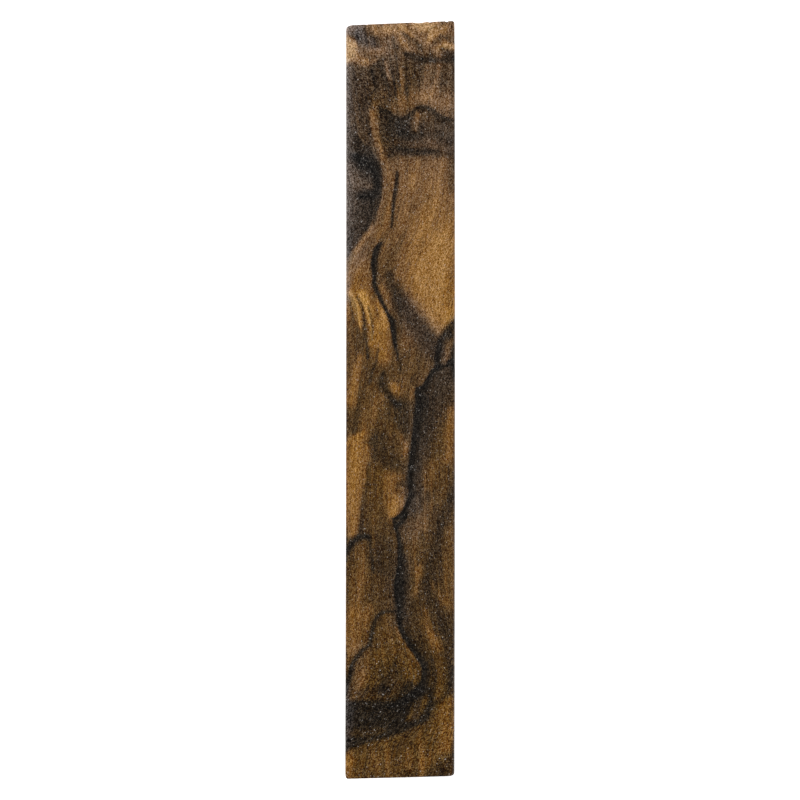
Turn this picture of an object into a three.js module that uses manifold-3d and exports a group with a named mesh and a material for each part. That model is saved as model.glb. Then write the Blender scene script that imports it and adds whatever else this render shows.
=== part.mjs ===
// A block of figured walnut, stabilized with clear resin, as sold for turning and knife handles.
// It is one sawn and sanded length of wood, three quarters of an inch square and a little over
// five inches long. Both sawn ends are slightly out of square, the long edges are eased by
// sanding, the corners are worn and the far end has a few splinters torn from its upper edge.
//
// Units are millimetres. The block lies flat: X runs across the figured face, Y along the grain
// and Z up. The origin is the middle of the face that it lies on.

import * as THREE from "three";
import { mergeVertices } from "three/addons/utils/BufferGeometryUtils.js";
import Module from "manifold-3d";

const width = 19;
const length = 131;
const thickness = 19;

// How far each end runs out of square over the block's width, as sawn.
const farEndRun = 0.8;
const nearEndRun = 0.52;

// The block is wider at its near end, and its sides bow together to the right half way along.
const flare = 0.1;
const crook = 0.16;

// Sanding has rounded the edges of the upper and lower face to this radius.
const easedEdge = 0.25;
const easingSteps = 3;
const curveSteps = 8;
const nickFacets = 2;

// Points of one surface that lie closer together than this are the same point.
const samePoint = 0.0001;

const walnutBrown = "#5a4028";

// The four upright corners, anticlockwise from the near left one. Each is worn back by onSide
// along the long side that meets there, and by onEnd along the sawn end.
const halfWidth = width / 2;
const farEndY = (length + farEndRun) / 2;
const nearEndY = -farEndY;
const nearLeft = { x: -halfWidth - flare, y: nearEndY, onSide: 0.7, onEnd: 0.45 };
const nearRight = { x: halfWidth - flare / 2, y: nearEndY + nearEndRun, onSide: 0.5, onEnd: 1.1 };
const farRight = { x: halfWidth, y: farEndY, onSide: 0.45, onEnd: 0.45 };
const farLeft = { x: -halfWidth + flare / 2, y: farEndY - farEndRun, onSide: 0.6, onEnd: 1.3 };

// Splinters lost from the far end's upper edge: the place across the width, the width of the
// nick, how far it reaches back from the end, and how far down.
const nicks = [
  { x: -5.9, wide: 0.5, back: 0.12, down: 0.5 },
  { x: -0.9, wide: 0.4, back: 0.1, down: 0.4 },
  { x: 3.3, wide: 1.7, back: 0.18, down: 1.1 },
  { x: 5.25, wide: 0.7, back: 0.17, down: 0.8 },
  { x: 8.05, wide: 0.36, back: 0.3, down: 0.9 },
];

// The point reached by going a distance from one corner towards another.
function towards(from, to, distance) {
  const span = Math.hypot(to.x - from.x, to.y - from.y);
  const share = distance / span;
  return [from.x + (to.x - from.x) * share, from.y + (to.y - from.y) * share];
}

// The block's outline seen from above: two sawn ends, two bowed sides and four worn corners.
function outline() {
  const shape = new THREE.Shape();
  const wear = (corner, end) => shape.quadraticCurveTo(corner.x, corner.y, ...end);
  const bow = (a, b, end) =>
    shape.quadraticCurveTo((a.x + b.x) / 2 + crook, (a.y + b.y) / 2, ...end);

  shape.moveTo(...towards(nearLeft, nearRight, nearLeft.onEnd));
  shape.lineTo(...towards(nearRight, nearLeft, nearRight.onEnd));
  wear(nearRight, towards(nearRight, farRight, nearRight.onSide));
  bow(nearRight, farRight, towards(farRight, nearRight, farRight.onSide));
  wear(farRight, towards(farRight, farLeft, farRight.onEnd));
  shape.lineTo(...towards(farLeft, farRight, farLeft.onEnd));
  wear(farLeft, towards(farLeft, nearLeft, farLeft.onSide));
  bow(farLeft, nearLeft, towards(nearLeft, farLeft, nearLeft.onSide));
  wear(nearLeft, towards(nearLeft, nearRight, nearLeft.onEnd));
  return shape;
}

// The outline raised to the block's thickness, with the edges of both large faces eased.
function sandedBlock() {
  const geometry = new THREE.ExtrudeGeometry(outline(), {
    depth: thickness - 2 * easedEdge,
    curveSegments: curveSteps,
    bevelEnabled: true,
    bevelThickness: easedEdge,
    bevelSize: easedEdge,
    bevelOffset: -easedEdge,
    bevelSegments: easingSteps,
  });
  return geometry.translate(0, 0, easedEdge);
}

// How far along Y the sawn face of the far end lies at a place across the width.
function farEndAt(x) {
  const share = (x - farLeft.x) / (farRight.x - farLeft.x);
  return farLeft.y + (farRight.y - farLeft.y) * share;
}

// A rounded splinter, whose removal leaves one nick in the far end's upper edge.
function splinter({ x, wide, back, down }) {
  return new THREE.IcosahedronGeometry(1, nickFacets)
    .scale(wide / 2, back, down)
    .translate(x, farEndAt(x), thickness);
}

const library = await Module();
library.setup();

// A closed three.js geometry as a solid that can be cut.
function solidOf(geometry) {
  const bare = geometry.clone().deleteAttribute("normal").deleteAttribute("uv");
  const merged = mergeVertices(bare, samePoint);
  return new library.Manifold(
    new library.Mesh({
      numProp: 3,
      vertProperties: new Float32Array(merged.getAttribute("position").array),
      triVerts: new Uint32Array(merged.index.array),
    }),
  );
}

// A cut solid as a three.js geometry with flat-shaded faces.
function geometryOf(solid) {
  const mesh = solid.getMesh();
  const geometry = new THREE.BufferGeometry();
  geometry.setAttribute("position", new THREE.BufferAttribute(mesh.vertProperties, 3));
  geometry.setIndex(new THREE.BufferAttribute(mesh.triVerts, 1));
  const faceted = geometry.toNonIndexed();
  faceted.computeVertexNormals();
  return faceted;
}

const nickedBlock = nicks
  .map(splinter)
  .reduce((block, cutter) => block.subtract(solidOf(cutter)), solidOf(sandedBlock()));

const block = new THREE.Mesh(
  geometryOf(nickedBlock),
  new THREE.MeshStandardMaterial({ color: walnutBrown, roughness: 0.45, metalness: 0 }),
);
block.name = "walnut_block";

const part = new THREE.Group();
part.name = "stabilized_walnut_block";
part.add(block);

export default part;
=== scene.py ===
import bmesh
import bpy
import numpy as np
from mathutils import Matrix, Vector, noise


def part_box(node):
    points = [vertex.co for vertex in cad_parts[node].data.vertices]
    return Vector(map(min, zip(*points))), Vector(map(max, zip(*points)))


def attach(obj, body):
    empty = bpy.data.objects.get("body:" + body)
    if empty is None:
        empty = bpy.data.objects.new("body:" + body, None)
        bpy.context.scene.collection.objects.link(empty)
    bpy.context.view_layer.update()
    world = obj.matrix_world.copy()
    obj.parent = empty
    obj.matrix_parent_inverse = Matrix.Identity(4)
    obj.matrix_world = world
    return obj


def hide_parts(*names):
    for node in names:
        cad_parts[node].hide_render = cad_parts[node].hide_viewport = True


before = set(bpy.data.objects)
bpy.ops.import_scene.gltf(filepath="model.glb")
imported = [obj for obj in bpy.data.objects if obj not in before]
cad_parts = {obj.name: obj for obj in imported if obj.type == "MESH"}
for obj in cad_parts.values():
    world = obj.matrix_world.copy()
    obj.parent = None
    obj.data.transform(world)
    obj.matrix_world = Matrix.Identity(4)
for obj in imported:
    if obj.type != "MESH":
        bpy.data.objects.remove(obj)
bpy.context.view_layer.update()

# The camera
# The picture is taken from straight above the block's figured face, with the end that was
# uppermost on the stand away from the viewer. The face's middle is the picture's middle.

MM = 0.001
face_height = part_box("walnut_block")[1][2]
picture_height = 138.94 * MM
picture_middle = (-0.035 * MM, -0.017 * MM)
focal_length = 100.0
sensor_width = 36.0

camera_data = bpy.data.cameras.new("camera")
camera_data.lens = focal_length
camera_data.sensor_width = sensor_width
camera_data.clip_start = 0.01
camera_data.clip_end = 10.0
camera = bpy.data.objects.new("camera", camera_data)
camera_distance = picture_height * focal_length / sensor_width
camera.location = (*picture_middle, face_height + camera_distance)
bpy.context.scene.collection.objects.link(camera)
bpy.context.scene.camera = camera

# The block
# A length of walnut, three quarters of an inch square, sawn from a figured plank, soaked in
# clear resin and sanded. The saw left both ends out of square, and handling wore the corners.

WIDTH = 19.0
LENGTH = 131.0
THICKNESS = face_height / MM
far_end_run = 0.8
near_end_run = 0.52
flare = 0.1
crook = 0.16
eased_edge = 0.25
easing_steps = 3

# Each corner is worn back along the side and along the end that meet there.
far_end_y = (LENGTH + far_end_run) / 2
near_end_y = -far_end_y
corners = {
    "near left": {"x": -WIDTH / 2 - flare, "y": near_end_y, "side": 0.7, "end": 0.45},
    "near right": {"x": WIDTH / 2 - flare / 2, "y": near_end_y + near_end_run,
                   "side": 0.5, "end": 1.1},
    "far left": {"x": -WIDTH / 2 + flare / 2, "y": far_end_y - far_end_run,
                 "side": 0.6, "end": 1.3},
    "far right": {"x": WIDTH / 2, "y": far_end_y, "side": 0.45, "end": 0.45},
}

# Splinters lost from the far end's upper edge: place across, width, reach back, reach down.
nicks = [(-5.9, 0.5, 0.12, 0.5), (-0.9, 0.4, 0.1, 0.4), (3.3, 1.7, 0.18, 1.1),
         (5.25, 0.7, 0.17, 0.8), (8.05, 0.36, 0.3, 0.9)]

# The sanding belt pressed harder near the long edges, so each face rolls off a little there.
roll_reach = 1.5
roll_drop = 0.07

# Sides of the faces that carry the figure, across, along and down the block. The veins run
# mostly along it, so faces are narrower than long. The figured face is twice as fine.
face_sides = (0.38, 0.52, 0.46)


def mix(a, b, share):
    """The value a share of the way from a to b."""
    return a + (b - a) * share


def sawn_blank():
    """A straight blank with eased edges, cut into a fine grid."""
    bm = bmesh.new()
    bmesh.ops.create_cube(bm, size=1)
    bmesh.ops.scale(bm, vec=(WIDTH, LENGTH, THICKNESS), verts=bm.verts)
    bmesh.ops.bevel(bm, geom=bm.edges[:], affect="EDGES", offset=eased_edge,
                    segments=easing_steps, profile=0.5, material=-1)
    for axis, (span, step) in enumerate(zip((WIDTH, LENGTH, THICKNESS), face_sides)):
        along = [e for e in bm.edges if abs((e.verts[0].co - e.verts[1].co)[axis]) > span / 2]
        bmesh.ops.subdivide_edges(bm, edges=along, cuts=round(span / step) - 1,
                                  use_grid_fill=True)
    bm.normal_update()
    top = {f for f in bm.faces if f.normal.z > 0.999}
    inner = [e for e in bm.edges if all(f in top for f in e.link_faces)]
    bmesh.ops.subdivide_edges(bm, edges=inner, cuts=1, use_grid_fill=True)
    return bm


def worn_corner(across, along, corner):
    """Moves a place near an upright corner in to the round that wear has given it."""
    u = 1 - (WIDTH / 2 - abs(across)) / corner["end"]
    v = 1 - (LENGTH / 2 - abs(along)) / corner["side"]
    if u <= 0 or v <= 0:
        return across, along
    u, v = u * (1 - v * v / 2) ** 0.5, v * (1 - u * u / 2) ** 0.5
    side = 1 if across > 0 else -1
    end = 1 if along > 0 else -1
    return (side * (WIDTH / 2 - (1 - u) * corner["end"]),
            end * (LENGTH / 2 - (1 - v) * corner["side"]))


def roll(place, half):
    """How strongly a face rolls off at a distance from its middle, from 0 to 1 at the edge."""
    return max(0.0, 1 - (half - abs(place)) / roll_reach) ** 2


def as_made(blank_place):
    """Where a point of the straight blank lies on the real block, in millimetres."""
    x, y, z = blank_place
    corner = corners[("far " if y > 0 else "near ") + ("right" if x > 0 else "left")]
    sunk_x = roll_drop * roll(z, THICKNESS / 2) * x / (WIDTH / 2)
    sunk_z = roll_drop * roll(x, WIDTH / 2) * z / (THICKNESS / 2)
    x, y = worn_corner(x, y, corner)
    for place, wide, back, down in nicks:
        reach = max(0.0, 1 - ((x - place) / (wide / 2)) ** 2) ** 0.5
        depth = max(0.0, 1 - (THICKNESS / 2 - z) / down)
        if y > LENGTH / 2 - 1:
            y -= back * reach * depth
    x -= sunk_x
    z -= sunk_z
    right = x / WIDTH + 0.5
    far = y / LENGTH + 0.5
    bow = 2 * far * (1 - far) * crook
    left_x = mix(corners["near left"]["x"], corners["far left"]["x"], far) + bow
    right_x = mix(corners["near right"]["x"], corners["far right"]["x"], far) + bow
    near_y = mix(corners["near left"]["y"], corners["near right"]["y"], right)
    far_y = mix(corners["far left"]["y"], corners["far right"]["y"], right)
    return Vector((mix(left_x, right_x, right), mix(near_y, far_y, far), z + THICKNESS / 2))


blank = sawn_blank()
for vertex in blank.verts:
    vertex.co = as_made(vertex.co) * MM
bmesh.ops.recalc_face_normals(blank, faces=blank.faces)
for face in blank.faces:
    face.smooth = True
    face.material_index = 1 if abs(face.normal.y) > 0.9 else 0
block_mesh = bpy.data.meshes.new("walnut_block_figured")
blank.to_mesh(block_mesh)
blank.free()
block = bpy.data.objects.new("walnut_block_figured", block_mesh)
bpy.context.scene.collection.objects.link(block)
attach(block, "root")
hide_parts("walnut_block")

# A few strokes are painted light rather than figure. They make the far half paler and the near half
# darker, and lay grey sheen along the left edge and at the far end.
# The figure
# Dark mineral veins, smoky grey ground and golden figure run through walnut grown round a
# crotch. They are laid down here as strokes over the figured face, in millimetres from its
# middle, and carried through the block, so that they cross the edges as real growth does.
#
# A stroke has a strength, a firmness of edge, and a route. Each point of a route gives the
# place across and along the face, and how far the stroke reaches to the left and right hand,
# as one value where both are the same.

# Lightness of the wood: paler figure is above 0, darker below.
wood_strokes = {
    # painted light: these two strokes make the far half paler and the near half darker, standing in
    # for light that falls stronger on the far end
    "painted light, paler far half": (0.07, 4, [(-10.5, 28.6, 13, 19.1), (10.4, 28.6, 13, 19.1)]),
    "painted shade, deeper near half": (-0.1, 4, [(-10.5, -41.7, 33, 27.8), (10.4, -41.7, 33, 27.8)]),
    "golden ground on the right": (0.25, 3, [(6.9, 13, 4.2, 5.2), (5.2, 27.8, 5.2),
        (4.5, 40.8, 4.2, 5.2)]),
    "golden ground, brightest": (0.2, 3, [(9, 12.1, 3.1, 2.1), (6.9, 20.8, 4.5, 4.2),
        (7.1, 26.9, 2.4, 3.5)]),
    "ray, pale": (0.1, 2, [(-0.6, 20.6, 0.35), (0.8, 23.9, 0.43), (2.7, 27.8, 0.52),
        (5.2, 31.9, 0.52), (6.4, 34.7, 0.52)]),
    "ray, dark": (-0.1, 2, [(-2.6, 22.2, 0.69), (-1.4, 24.6, 0.87), (0.7, 29.2, 0.87)]),
    "ray, grey patch": (-0.1, 2, [(2.4, 33.8, 0.87, 1), (3.3, 36.1, 1), (4, 38.5, 0.87),
        (4.7, 41.7, 1)]),
    "gleam at its top": (0.15, 2, [(1.9, 36.8, 0.43), (2.2, 38.9, 0.52)]),
    "red-brown strip": (0.09, 3, [(-3.5, 29.2, 1, 1.2), (-2.5, 32.1, 1.2), (-1.9, 35.6, 1.2, 1),
        (-2.1, 41.7, 0.87, 1.4)]),
    "pale edge of the left lobe": (0.3, 2, [(-9.6, 23.3, 0.35, 0.52), (-5.9, 28.5, 0.35, 0.43),
        (-4.9, 30, 0.26, 0.35)]),
    "left ground under the lobe": (0.21, 3, [(-7.7, 17.3, 2.1, 2.4), (-7.7, 20.5, 2.1, 2.8),
        (-7.5, 23.3, 2.1)]),
    "left gold streak a": (0.34, 2.5, [(-6.8, 13.2, 0.52, 0.35), (-7.3, 15.3, 0.69, 0.52),
        (-8.7, 18.6, 0.69, 0.52)]),
    "left gold streak b": (0.46, 2.2, [(-5.1, 9.7, 0.35, 0.38), (-4.9, 11.8, 0.52, 0.43),
        (-5.4, 15.3, 0.61, 0.52), (-6.5, 18.4, 0.69)]),
    "left gold streak c": (0.34, 3, [(-3, 7.6, 1.4, 1.2), (-3.2, 9.7, 1.6, 1.4),
        (-3.5, 11.8, 1.2, 1.6), (-3.5, 13.9, 0.52, 1.6)]),
    "gold along the curved vein": (0.25, 2, [(-2.5, 12.5, 0.52), (-3, 14.7, 0.52, 0.69),
        (-4, 16.8, 0.69, 0.52)]),
    "gold right of the curved vein": (0.17, 2.5, [(-2.3, 16.1, 0.35, 0.43), (-2.6, 17.9, 0.52),
        (-3, 19.4, 0.35, 0.52)]),
    "left edge gold, mid": (0.3, 2, [(-8.5, -0.4, 0.87), (-7.7, 4.5, 0.69), (-7, 7.3, 0.52)]),
    "brown between the left fibres": (-0.15, 2, [(-7.3, 9.5, 0.52, 0.69), (-7.5, 12.1, 0.52, 0.69)]),
    "brown over the pot": (0.15, 2.5, [(-6.3, -5.2, 0.69, 0.87), (-5.4, -3.1, 1),
        (-4.4, -1.2, 1, 1.2), (-3.5, 0.3, 0.69, 0.87)]),
    "gold wedge": (0.36, 2.5, [(-0.6, 0.5, 0.52), (-0.6, 1.5, 0.87, 0.78), (-1.1, 2.6, 0.61, 0.52)]),
    "gold beside the black's corner": (0.25, 2, [(2, 0.5, 0.52, 0.35), (2.2, 1.9, 0.52, 0.35)]),
    "left gold by the edge": (0.44, 3, [(-8.4, -23.1, 0.87, 1), (-8.4, -21.7, 1.2, 1.6),
        (-8.2, -19.1, 1.6, 1.7), (-7.8, -8.7, 1.6, 2.6), (-8, -7.3, 1.2, 2.6),
        (-7.3, -6.3, 0.52, 1.4)]),
    "right of the brown line": (0.07, 3, [(-4.2, -20.9, 1, 1.7), (-3.9, -17.4, 1.2, 1.4),
        (-3.9, -13.9, 1.2, 1.4)]),
    "brown line": (-0.28, 2, [(-7, -22.6, 0.35, 0.52), (-6.3, -17.2, 0.43, 0.52),
        (-5.8, -15, 0.43), (-5.3, -11, 0.35)]),
    "gold sliver by the vein": (0.34, 2.5, [(0.8, -9.6, 0.26, 0.35), (1, -8.4, 0.35, 0.43),
        (0.9, -7.5, 0.26, 0.35)]),
    "gold arc over the pot": (0.12, 2, [(0.3, -7, 0.35), (-0.2, -5.4, 0.35)]),
    "gold above the kink": (0.3, 2.5, [(-1.3, -20.5, 0.69, 0.87), (-1.3, -18.8, 1.2, 1.4),
        (-1.3, -17, 1.4, 1.6), (-1.3, -15.1, 1.6, 1.4), (-1.4, -13.6, 1.4)]),
    "gold above the kink, brightest": (0.25, 2.5, [(-1.4, -19.8, 0.52, 0.69),
        (-0.7, -18.4, 1, 0.87), (-0.4, -17.2, 0.69)]),
    "right edge gold": (0.27, 2.5, [(8.5, -10.1, 1), (8.6, -4.4, 0.87, 1), (8.8, -1.8, 0.69, 0.87)]),
    "gold streak on the right": (0.17, 2.5, [(4.8, -15.3, 0.69), (5.2, -12.9, 0.69),
        (5.5, -11, 0.69)]),
    "right edge brown": (-0.07, 2.5, [(8.8, -17.4, 0.87, 1), (9.2, -15, 0.69)]),
    "tan right of the vein": (0.12, 3, [(2.2, -29.9, 0.87, 1.2), (2, -26.9, 1.4, 1.6),
        (2.6, -22.2, 1.6, 2.1)]),
    "tan tongue": (0.25, 2, [(2.4, -34.2, 0.35, 0.43), (3.3, -30.1, 0.52, 0.61), (3.4, -29, 0.35)]),
    "right edge tan": (0.15, 2.5, [(8.8, -35.8, 1), (8.5, -33, 1, 1.2), (8.6, -26.1, 1),
        (8.8, -22.9, 0.87, 1)]),
    "left ground below the arch": (0.15, 3, [(-7.3, -41.7, 1.9, 1.7), (-7.5, -37.4, 1.9, 2.1),
        (-7.2, -33, 2.1, 1.4), (-7.2, -28.7, 2.1, 1.4), (-7, -25.7, 1.2)]),
    "brown fleck": (-0.1, 2, [(-5.9, -34.8, 0.69), (-5.8, -33, 0.69)]),
    "gold below it": (0.15, 2, [(-8.4, -43.4, 1.2, 1), (-8.2, -40.8, 1.2, 1.4), (-8.4, -37.4, 1.2)]),
    "within the triangle": (0.09, 3, [(-2.5, -43.4, 1.9, 2.4), (-2.3, -40.3, 1.6),
        (-2.5, -38.2, 0.87, 1.2)]),
    "pale rim of the vein": (0.25, 2, [(3.3, -45.9, 0.26, 0.17), (0, -41.2, 0.26, 0.17),
        (-0.6, -39.6, 0.26, 0.17)]),
    "pale streak on the right": (0.19, 2, [(6.4, -51.8, 0.52), (6.9, -49, 0.61, 0.52),
        (6.7, -46, 0.52), (6.2, -43.4, 0.61), (5.3, -41, 0.52, 0.69), (4.7, -38.6, 0.43, 0.52),
        (4.3, -36.5, 0.35)]),
    "pale flecks near the right edge": (0.17, 2, [(6.4, -42.6, 0.35, 0.52), (5.5, -40.7, 0.35)]),
    "egg, gold": (0.15, 3, [(-7.7, -51.6, 0.87, 1), (-7.3, -49.5, 1.2, 2.4),
        (-6.6, -46.9, 1.4, 2.4), (-5.2, -45, 1.4, 1.7)]),
    "egg, right gold": (0.12, 2.5, [(-2.1, -52.1, 1), (-0.7, -50.4, 0.87, 1.6),
        (1.4, -48.6, 1, 1.2), (1.9, -46.6, 1.2, 1), (0.7, -44.3, 1.4, 1)]),
    "near ground, right": (0.25, 2.5, [(8.1, -60.5, 1.2, 1), (8.1, -57.3, 1.4, 1), (8, -54.7, 1.4),
        (8.8, -52.1, 0.87)]),
    "near ground": (0.06, 4, [(-9.4, -62.9, 3.8), (3.4, -62, 4.2, 3.8), (6.9, -60.8, 4.2, 4.5)]),
    "near streak a": (0.17, 2, [(-2.1, -65.5, 0.35), (-2.3, -62.5, 0.35, 0.43),
        (-2.5, -59.4, 0.35)]),
    "near streak b": (0.17, 2, [(4.1, -65.3, 0.43), (3.6, -62.2, 0.43), (3.3, -57, 0.35)]),
    "near left gleam": (0.15, 2, [(-9.8, -63.2, 0.87), (-8.4, -62.4, 0.87)]),
    "near brown": (-0.07, 2, [(-1.4, -60.5, 1), (2, -60.1, 0.69)]),
    "far ground": (0.22, 4, [(-10.8, 62.9, 3.1), (3.4, 63.5, 3.1, 2.8), (10.7, 63.5, 3.1, 2.8)]),
    "far gold a": (0.31, 2, [(-4.4, 63.7, 0.52), (-4.6, 65.6, 0.69)]),
    "far gold b": (0.4, 2.2, [(-2.5, 64.6, 0.52, 0.69), (-1.3, 64.6, 0.61, 0.87),
        (0, 64.6, 0.52, 0.69)]),
    "far peach": (0.54, 2.2, [(2.9, 65.3, 0.69, 0.87), (4.1, 65.1, 0.69, 0.87),
        (5.3, 64.8, 0.35, 0.52)]),
    "far gold on the right": (0.27, 2.5, [(5.3, 62.9, 0.52), (6.9, 64.1, 0.69, 0.52),
        (8, 64.8, 0.52, 0.35)]),
    "far ochre": (0.17, 2.5, [(6.2, 61.5, 0.87, 1), (8.3, 62, 1), (9.7, 61.6, 1, 0.87)]),
    "far left tan": (0.54, 3, [(-9.6, 59.4, 0.87), (-8.7, 60.4, 1, 0.87), (-8.5, 61.6, 1, 0.87),
        (-8.9, 62.5, 0.69)]),
    "far left tan, second": (0.38, 2.5, [(-9.1, 59, 0.69), (-8, 59.4, 0.69, 0.87),
        (-6.8, 59, 0.69), (-5.8, 59, 0.35)]),
    "far pink patch": (0.21, 2.5, [(-4.4, 60.8, 0.87), (-3.2, 60.9, 0.87)]),
    "far dark streak a": (-0.17, 2, [(-3.5, 61.5, 0.52), (-1.4, 61.6, 0.69), (0, 61.1, 0.52)]),
    "far dark streak b": (-0.24, 2, [(-0.9, 64.9, 0.26), (2, 62.5, 0.35), (3.6, 61.3, 0.43)]),
    "far pale streak": (0.22, 2, [(-0.2, 62.7, 0.26), (0.7, 61.8, 0.35), (1.5, 60.9, 0.35)]),
    "pale scratch a": (0.4, 2, [(-1.9, 55.6, 0.21), (-2.3, 57.3, 0.26), (-2.6, 58.7, 0.17)]),
    "pale scratch b": (0.32, 2, [(0.4, 53.8, 0.21), (0.2, 55.6, 0.26), (0, 57.3, 0.26)]),
    "pale scratch c": (0.25, 2, [(5.3, 52.4, 0.35), (6.7, 57.3, 0.26), (7, 60.4, 0.26)]),
    "far tan ground": (0.15, 3, [(-0.7, 51.4, 1, 1.4), (0.7, 51.9, 1.7), (2.4, 52.6, 1.4, 1.6),
        (4.7, 52.6, 1.4), (6.9, 52.1, 1.9, 2.1), (10, 51.7, 2.1, 2.4)]),
    "far tan, bright": (0.1, 2, [(6.2, 51.6, 0.87), (8, 51.6, 1)]),
    "left of the far tan": (-0.12, 3, [(-7.7, 43.4, 2.1, 2.4), (-7, 47.7, 2.1, 2.4),
        (-6.3, 55.6, 2.4, 3.1)]),
    "yellow streaks": (0.32, 2.5, [(-3, 42, 0.35), (-4.6, 48.3, 0.43, 0.38), (-5, 50, 0.52, 0.35)]),
    "between the bands": (-0.07, 3, [(3.4, 56.3, 2.4, 2.8), (6.9, 56.3, 2.4), (10, 55.9, 2.4)]),
    "golden spot": (0.22, 2.5, [(2.6, 46.9, 0.43), (2.8, 48.4, 0.52), (3.1, 49.7, 0.35)]),
    "far dark patch": (-0.4, 3, [(-8, 63.2, 0.69, 0.87), (-7, 63.2, 1.2), (-5.8, 62.9, 1.6, 1.4),
        (-4.7, 62, 1.2, 1)]),
    "far left peach": (0.36, 2, [(-6.3, 58.5, 0.35, 0.52), (-5.1, 58.5, 0.52), (-4.4, 58.9, 0.35)]),
    "far pale streak b": (0.28, 2, [(0, 65.3, 0.26), (1, 64.3, 0.35), (2.2, 63.2, 0.26)]),
    "dark in the far middle": (-0.15, 2, [(-2.1, 51.4, 1), (-1.4, 53.5, 0.87), (-0.7, 56.9, 1)]),
    "dark right end of the gold": (-0.17, 2, [(8.5, 17.3, 1, 1.4), (8.6, 19.4, 0.87, 1.4),
        (8.8, 21.5, 0.69, 1.2)]),
    "egg, dark lower edge": (-0.19, 2, [(-6.6, -50.7, 0.69, 0.87), (-4.4, -50.4, 0.87),
        (-2.1, -50.7, 1.2, 1), (-0.2, -50, 1, 0.87), (1.5, -49, 0.69, 0.52)]),
    "near ground, paler corner": (0.12, 2.5, [(4.3, -63.2, 1.4, 1.2), (6.6, -62.2, 1.4)]),
    "far gold sweep": (0.32, 2.2, [(6.7, 60.9, 0.35), (7.4, 61.3, 0.52), (8.5, 61.3, 0.52),
        (9.9, 60.8, 0.52)]),
    "far brown under the sweep": (-0.3, 2.2, [(5.9, 62, 0.35, 0.52), (6.7, 62.5, 0.52, 0.69),
        (7.8, 62.9, 0.52, 0.69), (9.5, 62.3, 0.69, 0.52)]),
    "second band, brighter streaks": (-0.12, 3, [(0, 47.2, 1, 1.4), (9.5, 46.9, 1.4)]),
    "gold streak left of the fibres": (0.21, 2, [(-8.7, 14.2, 0.35), (-8.9, 16.3, 0.35),
        (-9.1, 17.7, 0.35)]),
    "gold streak between the fibres": (0.28, 2, [(-6.8, 12.1, 0.26), (-7.7, 16.3, 0.35),
        (-8.3, 17.7, 0.26)]),
    "gold streak right of fibre b": (0.28, 2, [(-5.4, 13.5, 0.26), (-5.6, 15.3, 0.35),
        (-6, 17, 0.35), (-6.8, 18.4, 0.26)]),
    "tan left of the triangle": (0.08, 3, [(-7, -36.8, 1.2, 1.6), (-7, -34.4, 1.6, 1.7),
        (-6.8, -32, 1.6, 1.9), (-6.3, -29.9, 1, 1.4)]),
    "tan by the outline": (0.16, 2.5, [(-5.8, -39.6, 0.52), (-5.6, -37.5, 0.69),
        (-5.1, -35.8, 0.52)]),
    "pale streak by the bend": (0.16, 2, [(5.3, -43.1, 0.52), (4.8, -40.7, 0.52),
        (4.1, -38.6, 0.35)]),
    "tan by the soft band": (0.18, 2, [(7.3, -35.1, 0.52, 0.69), (6.4, -33.4, 0.52, 0.61),
        (5.7, -32, 0.35)]),
    "tan between the scratches": (0.22, 3, [(4.1, 52.8, 1), (4.5, 54.9, 1, 1.2),
        (4.8, 56.9, 0.87, 1), (5.3, 58.3, 0.52, 0.69)]),
    "far gold top": (0.3, 2.5, [(4.1, 65.3, 0.52, 0.69), (5.2, 65.1, 0.69), (6.2, 65.1, 0.52)]),
    "yellow streak b": (0.25, 2, [(-4.2, 44.1, 0.21), (-4.6, 46.2, 0.21), (-5.1, 47.9, 0.21)]),
    "far gold streak": (0.25, 2, [(4.8, 62, 0.35), (5.2, 63, 0.35), (5.3, 64.2, 0.35)]),
    "right edge under the band": (-0.14, 2.5, [(9, 36.5, 0.69, 0.87), (9, 39.6, 0.87),
        (9, 42, 0.69, 0.87)]),
    "left of the egg": (0.16, 2.5, [(-9.1, -46.6, 0.52), (-8.5, -44.5, 0.69), (-8, -42.7, 0.69)]),
    "egg, left gleam": (0.14, 2.5, [(-7, -49.7, 0.69), (-6.8, -47.3, 0.69, 0.87)]),
    "right streak by the tan": (0.14, 2.5, [(7.1, -43.4, 0.52), (6.7, -41, 0.52, 0.69)]),
    "near left corner": (0.2, 2.5, [(-8.9, -65.3, 0.69), (-8.9, -62.9, 0.69, 0.87),
        (-8.9, -61.1, 0.52, 0.69)]),
    "near pale a": (0.14, 2.5, [(-4.4, -63.9, 0.69, 0.87), (-4.2, -61.8, 0.69, 0.87)]),
    "near pale b": (0.14, 2.5, [(1.5, -63.9, 0.52, 0.69), (1.4, -60.8, 0.52, 0.69)]),
    "right of the kink": (0.14, 3, [(3.8, -22.2, 0.69, 0.87), (4.1, -20.2, 0.87, 1),
        (4.8, -18.3, 0.69, 0.87)]),
    "right middle tan": (0.1, 3, [(6.6, -17.4, 1, 1.4), (6.6, -13.9, 1, 1.4),
        (6.9, -10.8, 0.87, 1)]),
    "pale spot left of the streaks": (0.16, 2.5, [(-4.9, 49, 0.52, 0.69), (-4.7, 50.7, 0.52, 0.87),
        (-4.2, 51.7, 0.35, 0.52)]),
    "far left of the patch": (0.14, 2.5, [(-3.2, 62.2, 0.87, 1), (-4.2, 63.5, 0.52, 0.69)]),
    "left foot of the far side": (0.12, 2.5, [(-8.7, 45.1, 0.52, 0.69), (-8, 43.4, 0.52, 0.69)]),
    "gold beside fibre d": (0.25, 2, [(-4.2, 12.8, 0.26), (-4.4, 14.6, 0.31), (-4.6, 16, 0.31)]),
    "tan below the smoke": (0.12, 3, [(0.7, 9.5, 0.69, 0.87), (1.2, 11.3, 0.87), (1, 13, 0.69)]),
    "golden ground, middle": (0.07, 3, [(2.9, 18.7, 0.87, 1), (2.9, 21.2, 1, 1.2),
        (3.1, 23.6, 0.87, 1)]),
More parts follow.
